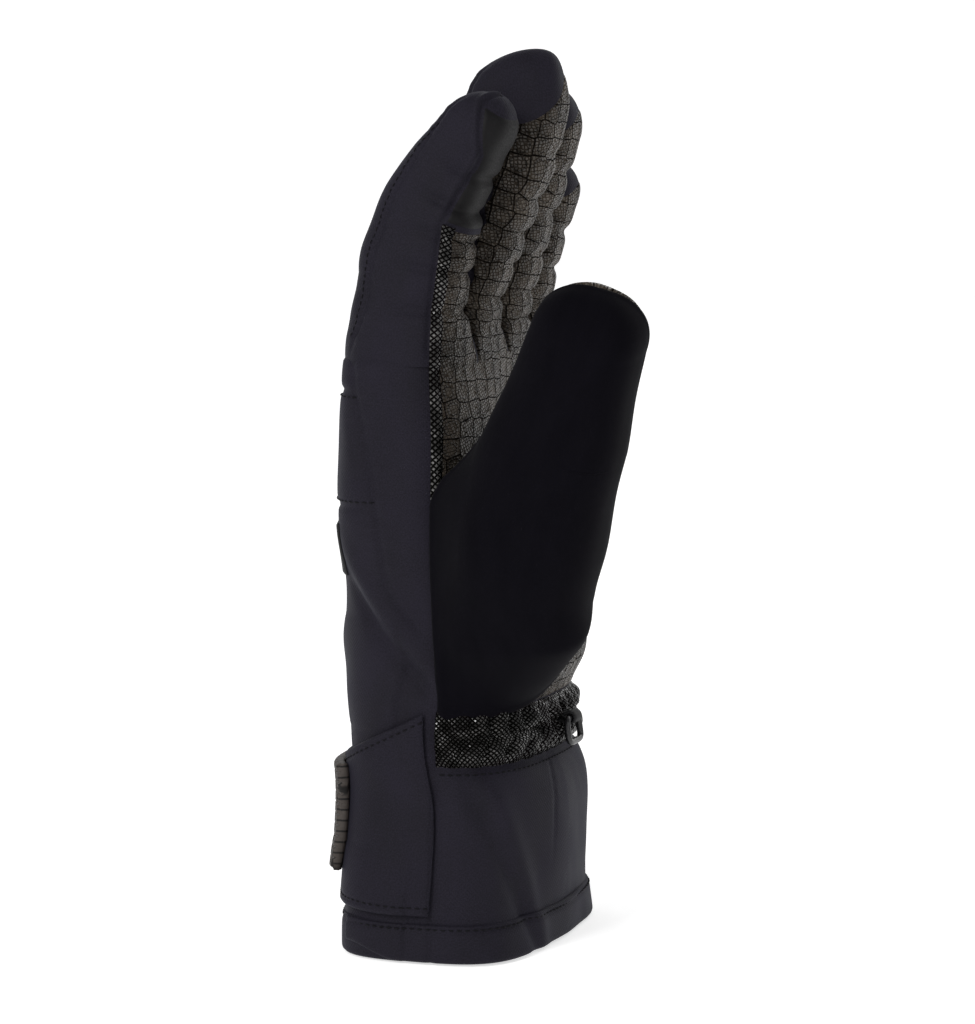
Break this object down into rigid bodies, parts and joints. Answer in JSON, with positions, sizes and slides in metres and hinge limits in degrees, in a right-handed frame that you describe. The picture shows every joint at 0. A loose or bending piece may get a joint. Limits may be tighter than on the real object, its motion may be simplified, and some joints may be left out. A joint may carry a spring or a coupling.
{
  "type": "ski glove",
  "caption": "Padded winter sports glove with bending fingers and thumb, embossed leather palm, opening wrist strap and a ring that clips the pair together.",
  "frame": {"origin": "middle of the cuff's mouth, in the plane of its hem", "axes": "+X out of the palm, -X out of the back of the hand, -Y to the thumb side, +Z from the cuff to the fingertips"},
  "size_m": [0.1211, 0.1361, 0.2798],
  "materials": {
    "softshell": "fine matte weave, very dark navy",
    "palm_leather": "semi-gloss, embossed reptile pattern",
    "touch_patch": "smooth, slightly glossy",
    "thumb_suede": "matte black suede",
    "lining": "brushed lining over insulation",
    "hook_tape": "hook and loop tape",
    "grip_rubber": "moulded grid of low blocks",
    "webbing": "flat woven webbing",
    "plastic": "satin"
  },
  "bodies": {
    "hand": {"thumb_root_wipe_panel": "thumb_suede", "thumb_root_gusset": "palm_leather", "hand_liner": "lining", "back_panel": "softshell", "palm_panel": "palm_leather", "finger_root_gussets": "softshell", "thumb_side_panel": "softshell", "little_side_panel": "softshell", "wrist_gather": "palm_leather", "cuff_palm_panel": "softshell", "cuff_back_gusset": "softshell", "cuff_hem": "softshell", "cuff_back_hem": "softshell", "back_pad": "softshell", "back_patch": "softshell", "strap_loop_patch": "hook_tape", "ring_webbing": "webbing"},
    "index_base": {"index_base_back": "softshell", "index_base_palm": "palm_leather", "index_base_sides": "softshell", "index_base_liner": "lining"},
    "index_tip": {"index_tip_back": "softshell", "index_tip_palm": "touch_patch", "index_tip_sides": "softshell", "index_tip_liner": "lining"},
    "middle_base": {"middle_base_back": "softshell", "middle_base_palm": "palm_leather", "middle_base_sides": "softshell", "middle_base_liner": "lining"},
    "middle_tip": {"middle_tip_back": "softshell", "middle_tip_palm": "palm_leather", "middle_tip_sides": "softshell", "middle_tip_liner": "lining"},
    "ring_base": {"ring_base_back": "softshell", "ring_base_palm": "palm_leather", "ring_base_sides": "softshell", "ring_base_liner": "lining"},
    "ring_tip": {"ring_tip_back": "softshell", "ring_tip_palm": "palm_leather", "ring_tip_sides": "softshell", "ring_tip_liner": "lining"},
    "little_base": {"little_base_back": "softshell", "little_base_palm": "palm_leather", "little_base_sides": "softshell", "little_base_liner": "lining"},
    "little_tip": {"little_tip_back": "softshell", "little_tip_palm": "palm_leather", "little_tip_sides": "softshell", "little_tip_liner": "lining"},
    "thumb_base": {"thumb_base_wipe_panel": "thumb_suede", "thumb_base_grip_panel": "palm_leather", "thumb_base_liner": "lining"},
    "thumb_tip": {"thumb_tip_wipe_panel": "thumb_suede", "thumb_tip_grip_panel": "palm_leather", "thumb_tip_liner": "lining"},
    "strap": {"wrist_strap": "softshell", "strap_hook_patch": "hook_tape", "strap_grip_tab": "grip_rubber"},
    "pairing_ring": {"pairing_ring": "plastic"}
  },
  "joints": [
    {"name": "index_knuckle", "type": "hinge", "parent": "hand", "child": "index_base", "pos_m": [-0.003, -0.0412, 0.198], "axis": [0, 1, 0], "range_deg": [-10, 50]},
    {"name": "index_middle_joint", "type": "hinge", "parent": "index_base", "child": "index_tip", "pos_m": [0.0036, -0.0412, 0.228], "axis": [0, 1, 0], "range_deg": [-8, 48]},
    {"name": "middle_knuckle", "type": "hinge", "parent": "hand", "child": "middle_base", "pos_m": [-0.0025, -0.0142, 0.198], "axis": [0, 1, 0], "range_deg": [-10, 50]},
    {"name": "middle_middle_joint", "type": "hinge", "parent": "middle_base", "child": "middle_tip", "pos_m": [0.01, -0.0142, 0.232], "axis": [0, 1, 0], "range_deg": [-8, 48]},
    {"name": "ring_knuckle", "type": "hinge", "parent": "hand", "child": "ring_base", "pos_m": [-0.0015, 0.0128, 0.197], "axis": [0, 1, 0], "range_deg": [-10, 50]},
    {"name": "ring_middle_joint", "type": "hinge", "parent": "ring_base", "child": "ring_tip", "pos_m": [0.0085, 0.0128, 0.2295], "axis": [0, 1, 0], "range_deg": [-8, 48]},
    {"name": "little_knuckle", "type": "hinge", "parent": "hand", "child": "little_base", "pos_m": [-0.0012, 0.038, 0.194], "axis": [0, 1, 0], "range_deg": [-10, 50]},
    {"name": "little_middle_joint", "type": "hinge", "parent": "little_base", "child": "little_tip", "pos_m": [0.004, 0.038, 0.216], "axis": [0, 1, 0], "range_deg": [-8, 48]},
    {"name": "thumb_swing", "type": "hinge", "parent": "hand", "child": "thumb_base", "pos_m": [0.046, -0.0558, 0.147], "axis": [0.9343, 0, -0.3564], "range_deg": [-25, 30]},
    {"name": "thumb_tip_bend", "type": "hinge", "parent": "thumb_base", "child": "thumb_tip", "pos_m": [0.0563, -0.0629, 0.174], "axis": [-0.9343, 0, 0.3564], "range_deg": [-10, 35]},
    {"name": "strap_open", "type": "hinge", "parent": "hand", "child": "strap", "pos_m": [0.0086, -0.053, 0.045], "axis": [0, 0, 1], "range_deg": [0, 110]},
    {"name": "ring_swing", "type": "hinge", "parent": "hand", "child": "pairing_ring", "pos_m": [0.0348, 0.002, 0.0695], "axis": [0, -1, 0], "range_deg": [0, 90]}
  ]
}
